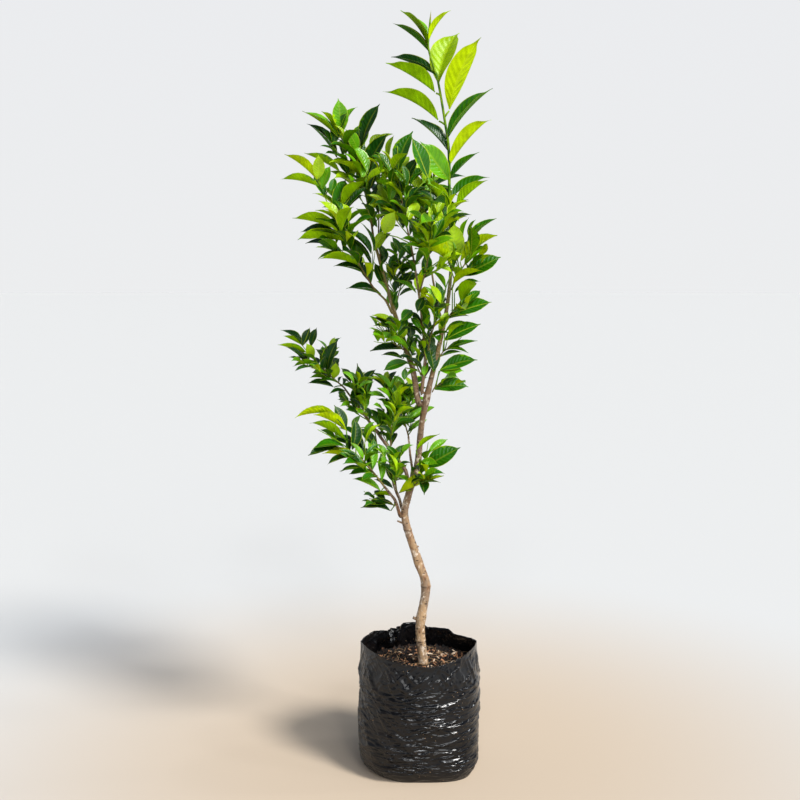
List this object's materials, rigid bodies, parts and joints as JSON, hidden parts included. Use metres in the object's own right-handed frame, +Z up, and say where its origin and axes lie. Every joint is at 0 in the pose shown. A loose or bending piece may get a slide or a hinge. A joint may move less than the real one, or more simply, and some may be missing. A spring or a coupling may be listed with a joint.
{
  "type": "potted tree sapling",
  "caption": "Young broadleaf tree with a bent, forking trunk and glossy pointed leaves, standing on its root ball in a black film grow bag.",
  "frame": {"origin": "middle of the grow bag's flat underside, on the ground", "axes": "+Z up along the trunk, +X to the tree's right as the fork opens to the left, -Y to its front"},
  "size_m": [0.4636, 0.3799, 1.5768],
  "materials": {
    "bag_film": "thin black polythene film, glossy and finely wrinkled, with brownish dust",
    "soil": "crumbly brown potting soil with fibres and chips, matt",
    "bark": "smooth light tan bark with darker pores and ring scars, greener on young wood",
    "leaves": "glossy leather-like green leaves, brighter yellow-green where young"
  },
  "bodies": {
    "root": {"nursery_bag": "bag_film", "soil": "soil", "trunk": "bark", "second_leader": "bark", "middle_bough": "bark", "back_bough": "bark", "far_left_bough": "bark", "long_low_bough": "bark", "low_left_bough": "bark", "inner_low_bough": "bark", "low_back_bough": "bark", "leader_foliage": "leaves", "upper_right_foliage": "leaves", "mid_right_foliage": "leaves", "right_twig_foliage": "leaves", "low_twig_foliage": "leaves", "leader_side_foliage": "leaves", "upper_left_foliage": "leaves", "upper_back_foliage": "leaves", "far_left_foliage": "leaves", "mid_left_foliage": "leaves", "middle_foliage": "leaves", "front_foliage": "leaves", "heart_foliage": "leaves", "left_heart_foliage": "leaves", "fork_foliage": "leaves", "back_foliage": "leaves", "long_bough_foliage": "leaves", "inner_bough_foliage": "leaves", "low_left_foliage": "leaves", "low_bough_foliage": "leaves", "inner_low_foliage": "leaves", "trunk_side_foliage": "leaves", "low_right_foliage": "leaves", "low_front_foliage": "leaves", "low_back_foliage": "leaves"}
  },
  "joints": []
}
